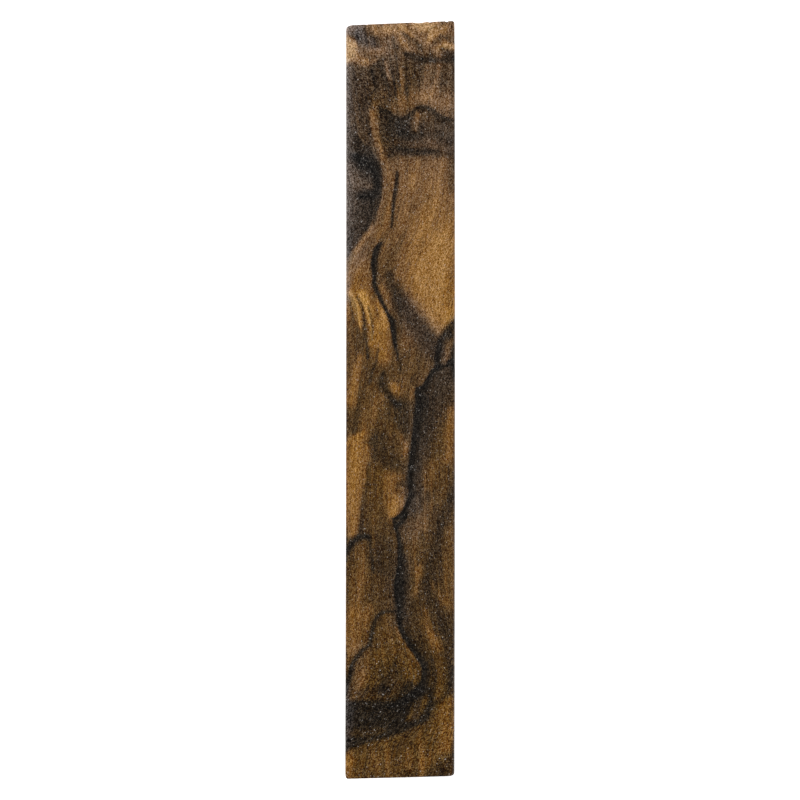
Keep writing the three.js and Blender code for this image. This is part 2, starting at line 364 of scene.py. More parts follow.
    "golden ground, right end": (-0.08, 3, [(9, 21.7, 0.69, 0.87), (9, 23.9, 0.87),
        (8.6, 26, 0.69, 0.87)]),
    "near corner, dark": (-0.16, 3, [(4.8, -65.8, 0.87, 1.4), (6.2, -63.9, 1.4, 1.7),
        (8, -61.8, 0.87, 1)]),
}

# Black and smoky mineral stain.
stain_strokes = {
    "main vein, lower length": (0.96, 3, [(-1.8, -53.3, 0.17, 0.52), (-1.1, -52.8, 0.17, 0.87),
        (1.9, -50.7, 0.17, 1.6), (2.9, -49.9, 0.17, 1.4), (3.7, -48.6, 0.17, 1),
        (3.9, -47.1, 0.17, 1), (3.5, -45.7, 0.17, 0.87), (0.4, -40.8, 0.17, 0.78),
        (-0.2, -39.4, 0.17, 0.61), (-0.4, -36.8, 0.17, 0.56), (-0.9, -32.7, 0.17, 1.5),
        (-0.8, -30.9, 0.17, 1.3), (-0.4, -29.5, 0.14, 0.75), (-0.3, -25.2, 0.14, 0.49),
        (-1.1, -21.4, 0.16, 0.54), (-1.3, -20.7, 0.14, 0.2)]),
    "main vein, shade of its lower length": (0.5, 2, [(0.7, -51.6, 0.17, 2.4),
        (2.7, -49.9, 0.17, 2.8), (3.6, -47.8, 0.17, 2.4), (3.3, -45.7, 0.17, 2.3),
        (0.1, -40.8, 0.17, 1.6), (-0.6, -38.2, 0.17, 1.4), (-1.1, -33, 0.17, 2.6),
        (-0.7, -30.4, 0.17, 2.4), (-0.4, -28.2, 0.17, 1.7), (-0.4, -25.7, 0.17, 0.87)]),
    "main vein, upper length": (0.96, 3, [(-1.2, -20.7, 0.14, 0.2), (-0.4, -20.2, 0.14, 0.54),
        (0.3, -19.4, 0.17, 1), (1.4, -17, 0.17, 0.87), (1.6, -15.6, 0.17, 0.69),
        (1.6, -14.3, 0.17, 0.69), (1.5, -13, 0.17, 0.87), (2.2, -6.3, 0.17, 1.2),
        (2.8, -0.7, 0.17, 1.9), (2.7, 1.7, 0.17, 2.1), (3.1, 2.2, 0.17, 1.6), (4, 2.4, 0.17, 1),
        (4.5, 3.3, 0.17, 0.69), (5.2, 4.5, 0.26, 0.69), (6.2, 5.5, 0.35, 0.69),
        (10, 7.3, 0.35, 0.69)]),
    "black ground right of the main vein": (0.66, 4, [(1.5, -15.3, 0.26, 1.7),
        (1.4, -13, 0.26, 1.9), (2.7, -0.7, 0.26, 5.6), (2.7, 1.4, 0.26, 6.9),
        (4.5, 3.1, 0.26, 6.3), (6.2, 5.4, 0.35, 5.2), (9, 6.6, 0.35, 4.2)]),
    "vein from the right edge": (0.93, 3, [(6.4, 5.9, 0.52), (6.4, 7.6, 0.52, 0.69),
        (6.7, 9.2, 0.52, 0.87), (7.3, 10.8, 0.69, 1), (8.3, 12.1, 0.87, 1.4), (10.2, 13.9, 1, 2.1)]),
    "dark right edge under it": (0.9, 3, [(9.7, 4.2, 0.69), (9.5, 6.6, 0.87, 0.69),
        (9.2, 8.7, 0.87), (9, 10.8, 1.2, 0.87)]),
    "ground of the left lobe": (0.68, 4, [(-9.4, 25.2, 1, 0.35), (-8.2, 26.7, 1.7, 0.35),
        (-5.1, 31.2, 4.5, 0.31), (-3.8, 34, 5.2, 0.31), (-3.2, 36.6, 5.2, 0.17),
        (-3.3, 39.9, 4.9, 0.17), (-3.9, 41.3, 4.5, 0.17), (-4.9, 42.7, 3.8, 0.26),
        (-5.8, 43.9, 3.5, 0.52)]),
    "left lobe, upper black": (0.95, 3, [(-7.8, 42.4, 0.69, 0.87), (-6.6, 41.5, 1.2, 1.4),
        (-5.4, 40.8, 1.4), (-4.4, 39.8, 1, 1.2), (-3.9, 38.4, 0.69, 0.87), (-3.9, 37, 0.52, 0.69)]),
    "left lobe, lower black": (0.88, 3, [(-7, 35.4, 0.69), (-5.8, 35.4, 1, 0.87),
        (-4.6, 35.6, 1.2, 0.87), (-3.9, 36.1, 0.69, 0.52)]),
    "left lobe, black tail": (0.45, 2, [(-6.3, 29.7, 0.35), (-5.4, 31.4, 0.69, 0.35),
        (-4.6, 34.7, 1.2, 0.35)]),
    "scalloped band, crest": (0.78, 3, [(-2.8, 50.4, 0.35, 0.87), (-1.4, 49.6, 0.26, 1.6),
        (0, 49, 0.21, 1.4), (1.2, 49.4, 0.21, 1), (2.9, 50.8, 0.21, 0.78), (4, 51, 0.21, 0.87),
        (5.2, 50.8, 0.21, 1), (7.1, 49.3, 0.21, 1.2), (8.3, 48.9, 0.21, 1), (10, 48.7, 0.21, 1)]),
    "second band, underside": (0.62, 2, [(-1.8, 42.4, 0.87, 0.52), (0.3, 43.1, 1, 0.78),
        (3.4, 42.8, 0.87, 0.78), (5, 43, 0.69, 0.61), (6.2, 42.4, 0.69, 0.43),
        (7.4, 42.7, 0.69, 0.61), (10, 42.9, 1)]),
    "second band, smoke": (0.56, 2, [(-2.8, 46.2, 1.6, 1.7), (-1.1, 46.4, 2.1, 2.4),
        (1.4, 46, 1.6, 2.8), (3.8, 45.8, 1, 2.4), (10, 45, 1.7, 1.6)]),
    "second band, dark heart": (0.5, 2, [(0.3, 46.2, 0.69), (1.5, 45.8, 0.69), (2.7, 45.7, 0.52)]),
    "second band, black line": (0.7, 2.5, [(-0.7, 43.9, 0.35, 0.52), (0.5, 43.6, 0.52, 0.69),
        (2, 43.2, 0.52, 0.69), (3.4, 43.2, 0.61, 0.69), (6.6, 43.2, 0.35)]),
    "second band, dark right end": (0.35, 2, [(8, 44.6, 0.69, 0.87), (10, 45.1, 0.87, 1)]),
    "upright dark streak in the band": (0.45, 2, [(-3, 47.4, 0.35), (-3.2, 49, 0.35),
        (-3.3, 50.7, 0.35)]),
    "band under the far end": (0.72, 3, [(0.7, 60.2, 0.35), (1.5, 59.9, 0.52, 0.61),
        (2.6, 59.6, 0.52, 0.69), (3.8, 59.1, 0.69), (5.2, 58.9, 0.69, 0.52), (6.9, 59, 0.52),
        (10, 58.9, 0.69, 0.52)]),
    "band under the far end, right lobe": (0.65, 3, [(7.3, 60.9, 0.52, 0.69), (8.3, 60.4, 0.69, 1),
        (10, 59.9, 0.69, 1)]),
    "smudge, left leg": (0.6, 2, [(-3.9, 54.2, 0.52), (-4.4, 55.7, 0.69, 0.52),
        (-4.9, 57.3, 0.52, 0.69), (-4.6, 58.3, 0.52)]),
    "smudge, right leg": (0.6, 2, [(-2.1, 54.3, 0.52, 0.35), (-2.8, 55.9, 0.69, 0.52),
        (-3.3, 57.5, 0.69, 0.52), (-3.7, 58.7, 0.52)]),
    "smoke under the band": (0.3, 2, [(1.2, 54.2, 0.87, 1), (1.2, 56.3, 1, 1.6), (1, 58.3, 1, 2.1)]),
    "small dark knot": (0.6, 3, [(1.1, 53, 0.43), (0.9, 54.2, 0.43)]),
    "small dark spot": (0.35, 2, [(-4.9, 53.3, 0.43), (-4.7, 53.8, 0.43)]),
    "dark fleck by the left edge": (0.3, 2, [(-6.5, 51, 0.69), (-5.9, 52.4, 0.69)]),
    "short vein": (0.92, 3, [(-1.5, 29.9, 0.21, 0.26), (-1.1, 35.1, 0.38, 0.45),
        (-0.6, 38.2, 0.35, 0.38), (-0.6, 39.6, 0.26)]),
    "curved vein": (0.97, 3, [(-0.3, 7.1, 0.14), (-0.6, 8.3, 0.17, 0.21), (-1, 9.5, 0.17, 0.43),
        (-1.4, 12.3, 0.17, 0.87), (-1.6, 13.7, 0.17, 0.78), (-2.2, 14.9, 0.24, 0.43),
        (-2.8, 16.1, 0.28), (-4.6, 19.8, 0.31, 0.45), (-4.6, 21.2, 0.35, 0.69),
        (-4.6, 23.9, 0.35, 0.8), (-4.4, 25.3, 0.35, 0.83), (-3.9, 26.6, 0.35, 0.69),
        (-3.3, 27.2, 0.17, 0.35)]),
    "curved vein's branch": (0.5, 3, [(-3.5, 20.3, 0.21), (-2.7, 21.5, 0.26), (-0.7, 23.1, 0.17)]),
    "smoke of the middle": (0.7, 3, [(6.4, 8.3, 1.9, 1.6), (4, 12.5, 3, 1.4), (2.2, 14.7, 2.8, 1),
        (0.3, 16.7, 1.9, 1.2), (-0.7, 18.4, 1.2, 1.4), (-1.4, 20.1, 0.87, 1.2), (-1.6, 21.5, 0.69)]),
    "smoke of the middle, heart": (0.35, 2, [(0.3, 16.3, 0.87, 0.52), (-0.6, 17.7, 0.87),
        (-1.3, 19.4, 0.69)]),
    "smoke of the middle, lower heart": (0.25, 2, [(6.2, 9.9, 1.4, 0.87), (4.7, 11.8, 1.4, 0.87),
        (2.7, 13.5, 1, 0.69)]),
    "fibre a": (0.68, 3, [(-8.1, 13.5, 0.21), (-8.7, 16.8, 0.26), (-9.3, 18.2, 0.26)]),
    "fibre b": (0.68, 3, [(-5.6, 7.3, 0.26), (-5.9, 9.5, 0.3), (-6.4, 14.7, 0.3),
        (-6.8, 16.5, 0.26), (-7.5, 17.9, 0.21)]),
    "fibre c": (0.68, 3, [(-5.4, 2.8, 0.26), (-4.9, 4.8, 0.31), (-4.2, 6.6, 0.31),
        (-3.9, 8.8, 0.23)]),
    "brown vein left of the middle": (0.72, 3, [(-0.4, -1.1, 0.52, 0.87), (-1.4, 0.1, 0.52, 0.61),
        (-3, 2.4, 0.61, 0.69), (-3.2, 3.8, 0.52, 0.69), (-2.8, 5, 0.26, 0.35)]),
    "brown fibre beside it": (0.3, 2, [(-3.7, 2.4, 0.35), (-4.6, 4, 0.35), (-5.1, 5, 0.35)]),
    "brown smoke left of the black": (0.62, 3, [(0.8, -5.2, 0.87), (0.3, -3.1, 1.7, 1.6),
        (0, -1.4, 2.1, 1.7), (-0.7, 0, 1.2)]),
    "brown smoke, dark spot": (0.4, 2, [(-1.3, -0.5, 0.52), (-0.2, -0.5, 0.52)]),
    "grey smudge by the left edge": (0.35, 2.5, [(-8.4, -5.2, 0.52, 0.69), (-8, -3.7, 0.52),
        (-6.8, 0.5, 0.26)]),
    "dark patch by the pit": (0.5, 3, [(-0.2, -14.6, 0.52), (1, -14.4, 0.52)]),
    "pit": (0.45, 2, [(-0.1, -16.9, 0.23), (-0.7, -16, 0.21), (-0.6, -15, 0.23)]),
    "arch, crown": (0.96, 3, [(-9.8, -27.5, 0.69, 0.61), (-9.2, -26.2, 0.69, 0.61),
        (-7.7, -24.2, 0.61), (-6.6, -23.7, 0.56, 0.61), (-5.5, -23.8, 0.43, 0.52)]),
    "arch, right leg": (0.7, 3, [(-4.6, -29.9, 0.28, 0.35), (-5.2, -25, 0.23, 0.26),
        (-5.4, -23.8, 0.26)]),
    "soft band on the right": (0.46, 2.5, [(7.4, -40.3, 1, 1.2), (6.9, -37.9, 1.4, 1.2),
        (6.2, -35.8, 1.4, 1), (5.2, -33.9, 1.2, 1), (4.7, -32, 1, 1.2), (5, -29.9, 0.87, 1.4),
        (5.5, -27.5, 0.87, 1.2), (6, -25.4, 0.69, 1), (6.7, -22.9, 0.69, 0.87),
        (7.3, -20.5, 0.69, 1), (8.1, -18.1, 0.87, 1.2), (9, -16.3, 0.87)]),
    "shade right of the main vein": (0.36, 2.5, [(4.8, -52.1, 1.2), (5.3, -49.3, 1.4),
        (4.8, -45.9, 1.7, 1.6), (2.4, -40.3, 1.2, 1.4), (1.9, -37.7, 1, 1.4),
        (2.4, -34.8, 0.87, 1)]),
    "dark right edge, lower": (0.36, 2.5, [(9.5, -50.4, 1.2, 1), (9, -46.9, 1.4),
        (8.6, -43.4, 1.6, 1.4), (8.5, -40.3, 1.4, 1.6), (8.6, -37.5, 0.87, 1.4)]),
    "egg, outline on the left": (0.88, 3, [(-9.6, -51.1, 0.35, 0.52), (-8.7, -46.9, 0.35, 0.52),
        (-8, -45.3, 0.35, 0.43), (-6.8, -43.8, 0.35), (-5.6, -42.7, 0.31), (-5.1, -41.4, 0.35),
        (-4.7, -39.6, 0.35, 0.38), (-4.2, -38.1, 0.35, 0.38), (-3.3, -37, 0.31, 0.35),
        (-2.1, -36.7, 0.26), (-1.1, -36.8, 0.17)]),
    "egg, dark left flank": (0.35, 2, [(-9.4, -51.4, 0.69, 0.87), (-9.2, -48.6, 0.69, 0.87),
        (-8.7, -46.6, 0.69, 0.52)]),
    "feather in the egg": (0.5, 2, [(-3.2, -50, 0.69), (-2.6, -48.8, 0.69), (-1.9, -48.1, 0.35),
        (-0.6, -44.3, 0.26)]),
    "feather's fellow": (0.3, 2, [(0.7, -50, 0.52), (0.3, -48.3, 0.26, 0.43), (0, -46.6, 0.26)]),
    "tail of the near band": (0.62, 2, [(4, -56, 0.35, 0.26), (4.8, -55.2, 0.35, 0.26),
        (5.3, -54, 0.35, 0.26), (6, -53, 0.43, 0.26), (7.1, -52.2, 0.52, 0.26),
        (8.1, -51.1, 0.52, 0.26), (8.8, -49.5, 0.69, 0.26), (9.3, -47.3, 0.69, 0.35)]),
    "near right corner": (0.5, 2, [(6.6, -66, 0.52, 1), (8, -64.8, 0.52, 1.6),
        (8.6, -63.6, 0.35, 1.6), (9.1, -60.5, 0.35, 1), (9.9, -58.9, 0.35, 0.87)]),
    "near end, dark fleck": (0.35, 2, [(0, -65.3, 0.69, 0.52), (2, -65.1, 0.69, 0.52)]),
    "crack at the far end": (0.45, 2, [(4.7, 63.9, 0.09, 0.12), (5.3, 64.5, 0.12, 0.16),
        (6.9, 65.1, 0.12, 0.16), (8, 65.7, 0.1, 0.14)]),
    "red flecks": (0.45, 2, [(8.7, -55.6, 0.14), (8.7, -54.6, 0.17), (8.6, -53.5, 0.14)]),
    "link above the curved vein": (0.3, 2, [(-3.3, 27.2, 0.26, 0.35), (-2.6, 28.3, 0.26, 0.35),
        (-1.9, 29.5, 0.17, 0.26)]),
    "feather in the egg, left": (0.35, 2, [(-2.8, -50.4, 0.52), (-3, -48, 0.43),
        (-3.3, -45.5, 0.26)]),
    "far dark speck": (0.4, 2, [(-4.2, 63, 0.52), (-3, 62.5, 0.52), (-1.8, 62.9, 0.52)]),
    "second band, dark left": (0.4, 2.5, [(-2.1, 47.9, 0.87, 1), (-0.7, 47.6, 1, 1.4),
        (0.7, 47.2, 0.87, 1.4)]),
    "curved vein, tail": (0.55, 3, [(-0.6, 8.3, 0.35, 0.26), (-0.2, 6.6, 0.35), (0.1, 4.8, 0.26)]),
    "fibre d": (0.68, 3, [(-4.9, 10.4, 0.21), (-4.8, 12.5, 0.24), (-5.1, 14.6, 0.24),
        (-5.5, 16.1, 0.21)]),
    "kink of the main vein": (0.93, 3, [(-1.5, -20.6, 0.2), (-0.7, -20.6, 0.41, 0.47),
        (0.1, -20.4, 0.54, 0.41), (0.8, -19.8, 0.52)]),
    "main vein, belly": (0.75, 3, [(0, -37.9, 0.52, 0.69), (-0.4, -33, 0.61, 1.4),
        (-0.2, -30.8, 0.69, 1.6), (0.1, -28.8, 0.41, 1.1), (0.2, -27.1, 0.34, 0.68),
        (0.1, -25.4, 0.34, 0.41), (-0.7, -22.1, 0.27)]),
    "dark right of the vein": (0.12, 3, [(2, -20.9, 0.52, 1), (2.7, -17.4, 0.69, 1.4),
        (3.4, -14.3, 0.69, 1)]),
    "corner under the egg": (0.8, 3, [(-2.1, -52.6, 0.35, 0.69), (-0.7, -51.8, 0.69, 0.87),
        (0.7, -50.7, 0.87), (1.9, -49.7, 0.69)]),
    "curved vein, broad part": (0.92, 3, [(-0.7, 8.7, 0.23), (-1.1, 10.4, 0.28, 0.55),
        (-1.4, 12.1, 0.31, 0.63), (-2.3, 15.4, 0.26, 0.39), (-4.2, 19.8, 0.2, 0.26),
        (-4.8, 23.1, 0.33, 0.29), (-4.7, 24.8, 0.33, 0.29), (-4.3, 26.4, 0.26, 0.33),
        (-3.5, 27.4, 0.13)]),
    "smoke, right flank": (0.3, 3, [(7.6, 8.3, 1, 0.69), (6.6, 10.1, 1.4, 0.87),
        (5.2, 11.4, 1, 0.87)]),
    "smoke, upper flank": (0.3, 2.5, [(3.1, 15.3, 0.69), (1.9, 16.8, 0.69), (0.7, 18, 0.69)]),
    "brown ray": (0.25, 2, [(1.9, 30.5, 0.26), (2.2, 32.3, 0.35), (2.7, 33.8, 0.35)]),
    "brown fleck of the ray": (0.25, 2, [(4.1, 34.4, 0.52), (4.8, 35.4, 0.52)]),
    "left lobe, foot": (0.5, 2.5, [(-9.6, 22.6, 0.52), (-9.1, 23.9, 0.69),
        (-8.4, 25.3, 0.69, 0.52)]),
    "second band, dark left end": (0.3, 3, [(-2.3, 42, 0.69, 1), (-2.3, 44.8, 0.69, 1.2),
        (-2.3, 47.9, 0.69, 1), (-2.5, 50, 0.52, 0.87)]),
    "near end, dark right": (0.3, 3, [(4.3, -65.7, 0.52, 0.69), (5.7, -64.3, 0.87, 1.4),
        (6.9, -63.2, 0.69)]),
    "kink of the main vein, heart": (0.95, 3, [(-0.9, -22.2, 0.27, 0.41),
        (-0.4, -21.7, 0.54, 0.68), (0.3, -21.2, 0.68, 0.54), (0.8, -20.3, 0.41)]),
    "feather, upper": (0.35, 2, [(-0.7, -48, 0.43), (-0.6, -45.9, 0.43), (-0.2, -44.1, 0.35)]),
    "pot, left flank": (0.3, 2.5, [(-4.6, -10.4, 0.69, 0.87), (-4.7, -8, 0.69, 1),
        (-4.2, -5.7, 0.69, 1)]),
    "streak below the curved vein": (0.3, 2, [(0.7, 4.5, 0.35), (1, 6.6, 0.43), (1.5, 8.7, 0.35)]),
    "fibre e": (0.5, 3, [(-7.3, 12.1, 0.24), (-7.8, 16.3, 0.28), (-8.5, 17.9, 0.24)]),
}

# Grounds of stain with an outline: each point gives its place and how soft the edge is.
stain_grounds = {
    "pot": (0.45, [(-5.4, -7, 0.17), (-4.7, -5.9, 0.26), (-3.5, -5.6, 0.35), (-1.9, -5.9, 0.52),
        (-1.4, -7.7, 0.52), (-1.1, -9.4, 0.52), (0.3, -10.6, 0.35), (0.8, -12, 0.35),
        (-0.2, -12.7, 0.35), (-2.1, -12.3, 0.35), (-3.2, -11, 0.26), (-3.7, -10.5, 0.17),
        (-4.9, -10.4, 0.17), (-5.4, -9, 0.17)]),
    "brown block by the arch": (0.36, [(-4.9, -27.1, 0.35), (-4.9, -29.4, 0.35),
        (-3.5, -30.1, 0.35), (-0.9, -30.8, 0.35), (-0.6, -27.8, 0.35), (-1.1, -25.4, 0.52),
        (-1.9, -23.8, 0.52), (-3.3, -24, 0.69), (-4, -25.7, 0.69)]),
    "near band": (0.9, [(-10.8, -52.3, 0.26), (-7.3, -52.1, 0.26), (-4.9, -52, 0.26),
        (-3, -52.1, 0.26), (-1.8, -52.5, 0.17), (-0.6, -52.1, 0.17), (0.7, -51.7, 0.17),
        (2, -50.7, 0.17), (3.3, -49.7, 0.17), (4.5, -49.7, 0.69), (5.5, -50.7, 0.69),
        (5.9, -52.1, 0.52), (5.3, -53.9, 0.35), (4.7, -55.4, 0.21), (3.1, -56.6, 0.21),
        (1.5, -57.3, 0.26), (-0.2, -58, 0.26), (-1.8, -58.5, 0.26), (-3, -58.9, 0.26),
        (-4.9, -59.4, 0.26), (-7, -60.1, 0.35), (-8.7, -60.8, 0.35), (-10.8, -61.5, 0.35)]),
}

# Where the stain is washed out again.
clean_strokes = {
    "left lobe, pale gap": (0.75, 3, [(-9.4, 38.2, 1.4, 1.6), (-6.6, 37.5, 0.87),
        (-5.4, 37, 0.52, 0.35)]),
    "golden spot in the scallop": (0.9, 2.5, [(2.6, 46.9, 0.35), (2.8, 48.4, 0.52),
        (3.1, 49.8, 0.35)]),
    "pale line in the scallop": (0.6, 2, [(4.7, 47.6, 0.26), (6.2, 47.1, 0.26), (8, 47.4, 0.26),
        (9.7, 48.4, 0.26)]),
    "pale spot in the second band": (0.4, 2, [(4.1, 45.1, 0.52), (5.7, 45, 0.69)]),
    "pale gleam at the right edge": (0.4, 2.5, [(7.6, 6.4, 0.31), (8.6, 9.2, 0.35),
        (9, 10.4, 0.26)]),
    "golden corner in the near band": (0.9, 2.5, [(1.5, -55.2, 0.35, 0.52), (2.6, -54.6, 1, 0.87),
        (3.6, -53.3, 1, 0.69), (4.5, -52.1, 0.69, 0.52)]),
    "pale streak in the near band": (0.4, 2, [(-9.4, -57.7, 0.52), (-7, -57.8, 0.69),
        (-4.9, -57.7, 0.69), (-2.8, -57.3, 0.35)]),
}

# Grey haze of resin and fine scratches, and painted sheen. The strokes along the left edge are a
# painted reflection of the main light off the rolled-off edge. The far left corner is partly resin
# haze and partly painted sheen.
haze_and_sheen_strokes = {
    "haze and painted sheen, far left corner": (0.45, 3, [(-10.5, 63.9, 1.7, 1), (-8.4, 64.4, 1.4, 0.87),
        (-7, 64.6, 0.87, 0.69)]),
    "greenish smudge": (0.18, 3, [(-7, 62.9, 0.87), (-5.9, 61.8, 1.2, 1), (-4.2, 61.1, 0.69)]),
    # painted sheen: grey along the left edge, standing in for the main light's reflection off the
    # rolled edge
    "left edge": (0.38, 2, [(-9.8, 17.3, 1, 0.69), (-9.8, 38.2, 1), (-9.8, 58, 1, 0.87)]),
    "left edge, near": (0.2, 2, [(-9.8, -60.5, 0.87, 0.52), (-9.8, -55.6, 1, 0.87),
        (-9.8, -50.4, 1, 0.69)]),
}

# Warmth of colour: golden above 0, greyer below.
warm_strokes = {
    # painted sheen: the far end is made greyer, where the main light's reflection is stronger
    "painted sheen, greyer far end": (-0.5, 3, [(-10.5, 57.3, 15.6, 17.4), (10.4, 57.3, 15.6, 17.4)]),
    "warmer near end": (0.2, 3, [(-10.5, -58.2, 13, 15.6), (10.4, -58.2, 13, 15.6)]),
    "cool left lobe": (-0.7, 3, [(-8.4, 26, 2.4), (-7.8, 32.1, 3.1, 3.5), (-7, 38.2, 3.1, 3.5),
        (-6.6, 40.8, 2.4, 3.1)]),
    # painted sheen: the left edge is made greyer, standing in for the main light's reflection there
    "painted sheen, cooler left edge": (-0.6, 2, [(-9.8, 17.3, 0.87), (-9.8, 34.7, 1), (-9.8, 58, 1)]),
    "cool smoke": (-0.42, 3, [(5.9, 9.5, 2.4), (3.4, 13, 2.4, 2.1), (0.7, 16.5, 1.7)]),
    "cool black": (-0.45, 3, [(8.6, 5.2, 2.4), (5.5, 0.9, 2.8), (4.1, -5.2, 1.7, 2.8),
        (2.7, -12.2, 1.4, 1.7), (2, -18.3, 1.4, 1.7)]),
    "cool beside the vein": (-0.35, 3, [(0.7, -27.8, 1, 1.7), (0.5, -33, 1, 2.1),
        (0.7, -38.2, 1, 2.1)]),
    "warm left gold": (0.14, 3, [(-7.7, 19.1, 2.1, 2.4), (-5.2, 15.6, 2.4, 3.1), (-4.2, 8.7, 2.4)]),
    "warm left middle": (0.12, 3, [(-3.9, -13.9, 2.1), (-3.5, -22.6, 2.1, 2.4)]),
    "yellow far right": (0.15, 3, [(8.3, 62.5, 1.7, 2.1), (6.2, 62.9, 1.4, 1.7)]),
    "yellow far middle": (0.25, 3, [(0.8, 52.1, 2.1), (0.8, 56.4, 2.1)]),
    "yellow streaks": (0.12, 2.5, [(-2.5, 41.7, 0.69), (-3.5, 45.1, 0.87), (-4.6, 49.5, 0.87),
        (-5.1, 53.8, 0.87)]),
    "cool second band": (-0.3, 3, [(0.8, 47.2, 1.7, 2.4), (5.2, 45.8, 2.1), (9.7, 45.1, 2.1)]),
    "warmer below the middle": (0.14, 4, [(-10.5, -34.8, 10.4, 19.1), (10.4, -34.8, 10.4, 19.1)]),
    "warm golden ground": (0.04, 3, [(6.9, 15.6, 3.5, 4.2), (6.2, 24.3, 4.2, 4.5),
        (4.8, 34.7, 4.2, 4.5)]),
    "cool beside the kink": (-0.3, 3, [(0.8, -22.6, 1.4, 2.4), (1.7, -20, 1.4, 2.8),
        (2.4, -17.4, 1.4, 2.4)]),
    "golden spot": (0.15, 2.5, [(2.6, 46.7, 0.69), (2.9, 48.6, 0.69), (3.1, 49.8, 0.52)]),
    "far middle": (0.22, 3, [(0, 50, 8.7, 9.6), (0, 57.6, 8.7, 9.6)]),
    "right edge gold": (0.12, 2.5, [(9, 13, 0.87, 1.4), (8.8, 17.3, 1.2, 1.4),
        (9, 20.8, 0.87, 1.4)]),
    "pale edge of the lobe": (0.35, 2.5, [(-9.1, 23.9, 0.87), (-7.3, 26.4, 0.87),
        (-5.8, 28.8, 0.69)]),
    "warm middle": (0.14, 4, [(-10.5, -5.2, 10.4, 12.2), (10.4, -5.2, 10.4, 12.2)]),
    "left of the yellow streaks": (0.2, 3, [(-2.1, 45.1, 1.4), (-2.5, 49, 1.4), (-3.9, 52.1, 1.7)]),
    "red-brown strip": (0.15, 3, [(-3.9, 28.6, 0.87), (-2.5, 33, 0.87), (-2.1, 38.2, 0.87),
        (-2.8, 42.5, 0.87)]),
    "cool beside the egg": (-0.25, 3, [(-8, -52.1, 1.4, 1.7), (-7.3, -43.4, 1.4, 1.7)]),
    "cool far middle": (-0.25, 3, [(-1.8, 57.3, 1.4), (-1.8, 61.6, 1.4)]),
}


def smooth_route(points, steps=5):
    """A smooth curve through a route's points, with their reaches carried along it."""
    given = np.array([(*point, point[-1])[:4] for point in points], float)
    guides = np.vstack([2 * given[0] - given[1], given, 2 * given[-1] - given[-2]])
    share = np.linspace(0, 1, steps, endpoint=False)[:, None]
    spans = []
    for before, start, end, after in zip(guides, guides[1:], guides[2:], guides[3:]):
        spans.append(0.5 * (2 * start + (end - before) * share
                            + (2 * before - 5 * start + 4 * end - after) * share ** 2
                            + (3 * start - before - 3 * end + after) * share ** 3))
    return np.vstack(spans + [given[-1:]])


def nearest(route, x, y):
    """How far each place is from a route, on which hand it lies, and the reaches there."""
    distance = np.full(x.shape, np.inf)
    hand = np.zeros(x.shape)
    reaches = np.zeros((len(x), route.shape[1] - 2))
    for start, end in zip(route, route[1:]):
        run_x, run_y = end[0] - start[0], end[1] - start[1]
        length = max(run_x ** 2 + run_y ** 2, 1e-12)
        share = np.clip(((x - start[0]) * run_x + (y - start[1]) * run_y) / length, 0, 1)
        off_x = x - start[0] - share * run_x
        off_y = y - start[1] - share * run_y
        here = np.hypot(off_x, off_y)
        closer = here < distance
        distance[closer] = here[closer]
        hand[closer] = np.sign(run_x * off_y - run_y * off_x)[closer]
        reaches[closer] = (start[2:] + share[:, None] * (end[2:] - start[2:]))[closer]
    return distance, hand, reaches


# A stroke is too faint to see beyond this many times its reach.
faint_beyond = 3.2


def laid(stroke, x, y):
    """How much of a stroke lies at each place, from 0 to its strength."""
    strength, firmness, points = stroke
    route = smooth_route(points)
    margin = faint_beyond * route[:, 2:].max()
    close = ((x > route[:, 0].min() - margin) & (x < route[:, 0].max() + margin)
             & (y > route[:, 1].min() - margin) & (y < route[:, 1].max() + margin))
    amount = np.zeros(x.shape)
    distance, hand, reaches = nearest(route, x[close], y[close])
    reach = np.where(hand > 0, reaches[:, 0], reaches[:, 1])
    amount[close] = strength * 0.5 ** ((distance / reach) ** firmness)
    return amount


# How steeply a ground's edge falls within its softness.
edge_fall = 2.2


def filled(ground, x, y, steps=5):
    """How much of a ground, closed by its outline, lies at each place."""
    strength, points = ground
    route = smooth_route(points + points[:2], steps)[:steps * len(points) + 1]
    distance, hand, softness = nearest(route, x, y)
    inside = np.zeros(x.shape, bool)
    for start, end in zip(route, route[1:]):
        if start[1] != end[1]:
            crossing = start[0] + (y - start[1]) * (end[0] - start[0]) / (end[1] - start[1])
            inside ^= ((start[1] > y) != (end[1] > y)) & (x < crossing)
    depth = np.where(inside, distance, -distance) / softness[:, 0]
    return strength / (1 + np.exp(np.clip(-edge_fall * depth, -50, 50)))


# The layers lie aslant in the block: going down through it, the figure moves across by this
# much of the depth, and a little along the grain. Just past an edge it turns back on itself.
layer_slant = 0.75
layer_drift = 0.35
turn = WIDTH / 2 + 0.1

# The layers also waver along the block, by these shares of the depth, over this length.
waver_across = 0.12
waver_along = 0.3
waver_length = 9.0

# Small wanderings of the figure, and how long they are.
wander = ((0.10, 1.1), (0.05, 0.45))


def wandered(place, size, reach):
    """A smooth irregular shift of a place, as growth gives."""
    return noise.noise_vector(place / reach) * size


places = np.empty(3 * len(block_mesh.vertices))
block_mesh.vertices.foreach_get("co", places)
places = places.reshape(-1, 3) / MM
shifts = np.zeros_like(places)
for size, reach in wander:
    shifts += np.array([wandered(Vector(p), size, reach) for p in places.tolist()])
depth = THICKNESS - places[:, 2]
waver = np.array([wandered(Vector((0, y, d)), 1.0, waver_length)[:2]
                  for y, d in zip(places[:, 1].tolist(), depth.tolist())])
across = places[:, 0] + shifts[:, 0] + depth * (layer_slant + waver_across * waver[:, 0])
along = places[:, 1] + shifts[:, 1] + depth * (layer_drift + waver_along * waver[:, 1])
across = np.abs((across - turn) % (4 * turn) - 2 * turn) - turn

